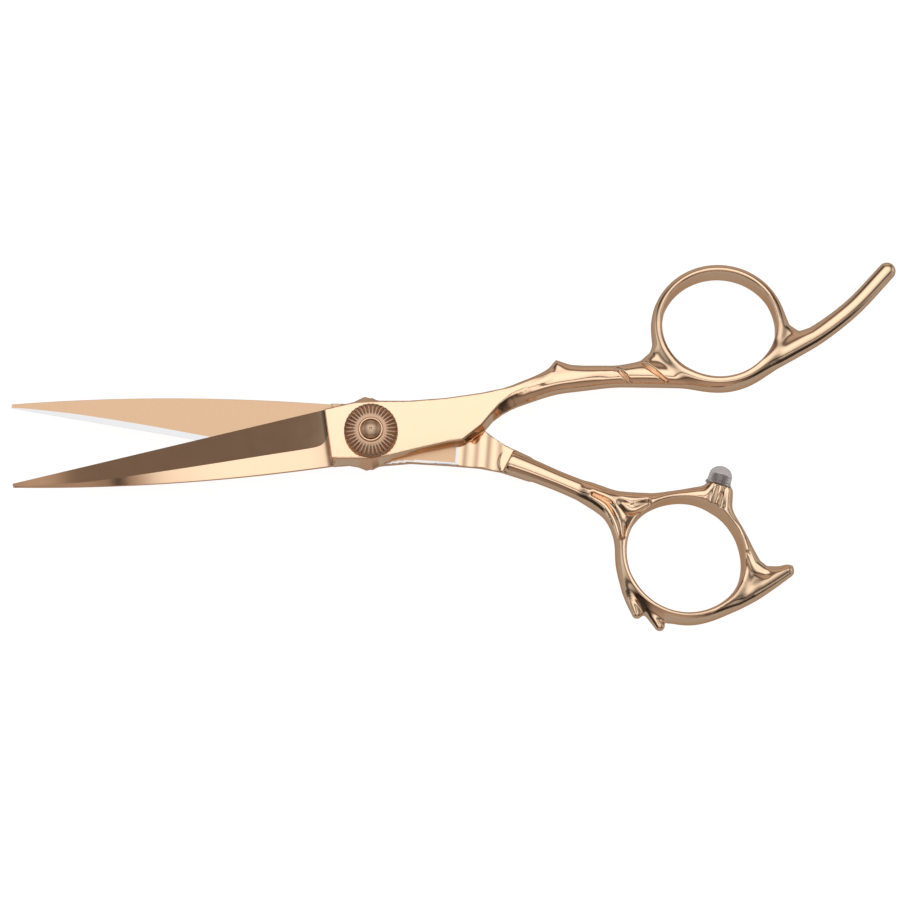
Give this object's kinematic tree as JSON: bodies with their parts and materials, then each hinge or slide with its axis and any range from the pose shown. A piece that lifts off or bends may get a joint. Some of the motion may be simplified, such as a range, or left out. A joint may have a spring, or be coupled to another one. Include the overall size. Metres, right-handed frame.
{
  "type": "hair cutting shears",
  "caption": "Rose gold hair cutting shears with slim blades, a fluted tension dial, offset round finger rings, a little-finger tang, branch-like spurs and a soft closing bumper.",
  "frame": {"origin": "on the pivot axis, at the flat back face of the pivot stud", "axes": "+X from the pivot towards the finger rings, +Y towards the front arm's finger ring, +Z out of the tension dial"},
  "size_m": [0.1714, 0.0727, 0.0119],
  "materials": {
    "rose_gold": "forged steel with a rose gold coating, mirror polished outside and satin ground on the blades' inner faces",
    "polished_steel": "ground and polished steel",
    "spring_steel": "rolled spring steel",
    "bearing_bronze": "plain bronze",
    "glide_polymer": "low-friction polymer",
    "clear_silicone": "clear, slightly grey soft silicone"
  },
  "bodies": {
    "rear_handle": {"rear_arm": "rose_gold", "pivot_stud": "rose_gold", "glide_washer": "glide_polymer", "bearing_race_upper": "polished_steel", "click_plate": "polished_steel", "click_spring": "spring_steel", "bumper_stud": "polished_steel", "bumper_cap": "clear_silicone"},
    "front_handle": {"front_arm": "rose_gold", "pivot_bush": "bearing_bronze", "bearing_race_lower": "polished_steel"},
    "ball_cage": {"bearing_cage": "bearing_bronze", "bearing_ball_01": "polished_steel", "bearing_ball_02": "polished_steel", "bearing_ball_03": "polished_steel", "bearing_ball_04": "polished_steel", "bearing_ball_05": "polished_steel", "bearing_ball_06": "polished_steel", "bearing_ball_07": "polished_steel", "bearing_ball_08": "polished_steel"},
    "dial": {"tension_dial": "rose_gold", "dial_collar": "rose_gold"}
  },
  "joints": [
    {"name": "blade_pivot", "type": "hinge", "parent": "rear_handle", "child": "front_handle", "pos_m": [0, 0, 0.00375], "axis": [0, 0, 1], "range_deg": [-12.2, 134]},
    {"name": "bearing_roll", "type": "hinge", "parent": "rear_handle", "child": "ball_cage", "pos_m": [0, 0, 0.0066], "axis": [0, 0, 1], "range_deg": [-6.2, 67.5]},
    {"name": "dial_turn", "type": "hinge", "parent": "rear_handle", "child": "dial", "pos_m": [0, 0, 0.0082], "axis": [0, 0, 1], "range_deg": [-180, 180]}
  ],
  "couplings": [
    {"joint": "bearing_roll", "follows": "blade_pivot", "ratio": 0.5}
  ]
}
